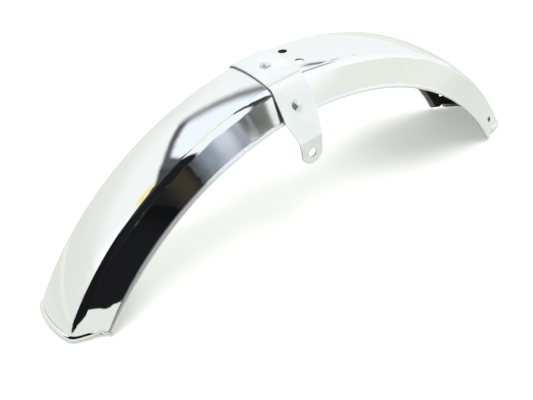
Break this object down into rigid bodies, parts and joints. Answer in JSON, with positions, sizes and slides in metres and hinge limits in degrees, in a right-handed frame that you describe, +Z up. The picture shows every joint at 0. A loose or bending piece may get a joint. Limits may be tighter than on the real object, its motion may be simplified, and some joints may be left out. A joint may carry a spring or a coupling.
{
  "type": "motorcycle front mudguard",
  "caption": "Chromed steel front mudguard for a light motorcycle: an arched blade with rolled edges and a riveted strip bracket with bolt legs.",
  "frame": {"origin": "centre of the box's base: the flat level the two ends stand on, midway along and across the blade", "axes": "+X along the blade from its front end to its rear end, +Y to the right side of the blade, +Z up through the crown"},
  "size_m": [0.5308, 0.1116, 0.1685],
  "materials": {
    "blade_chrome": "mirror chrome plating on pressed steel",
    "bracket_zinc": "bright zinc plating, faintly bluish, fine rolling marks",
    "rivet_steel": "bright plated steel, closed by a rivet set"
  },
  "bodies": {
    "root": {"blade": "blade_chrome", "bracket": "bracket_zinc", "crown_rivet": "rivet_steel", "left_rivet": "rivet_steel", "right_rivet": "rivet_steel"}
  },
  "joints": []
}
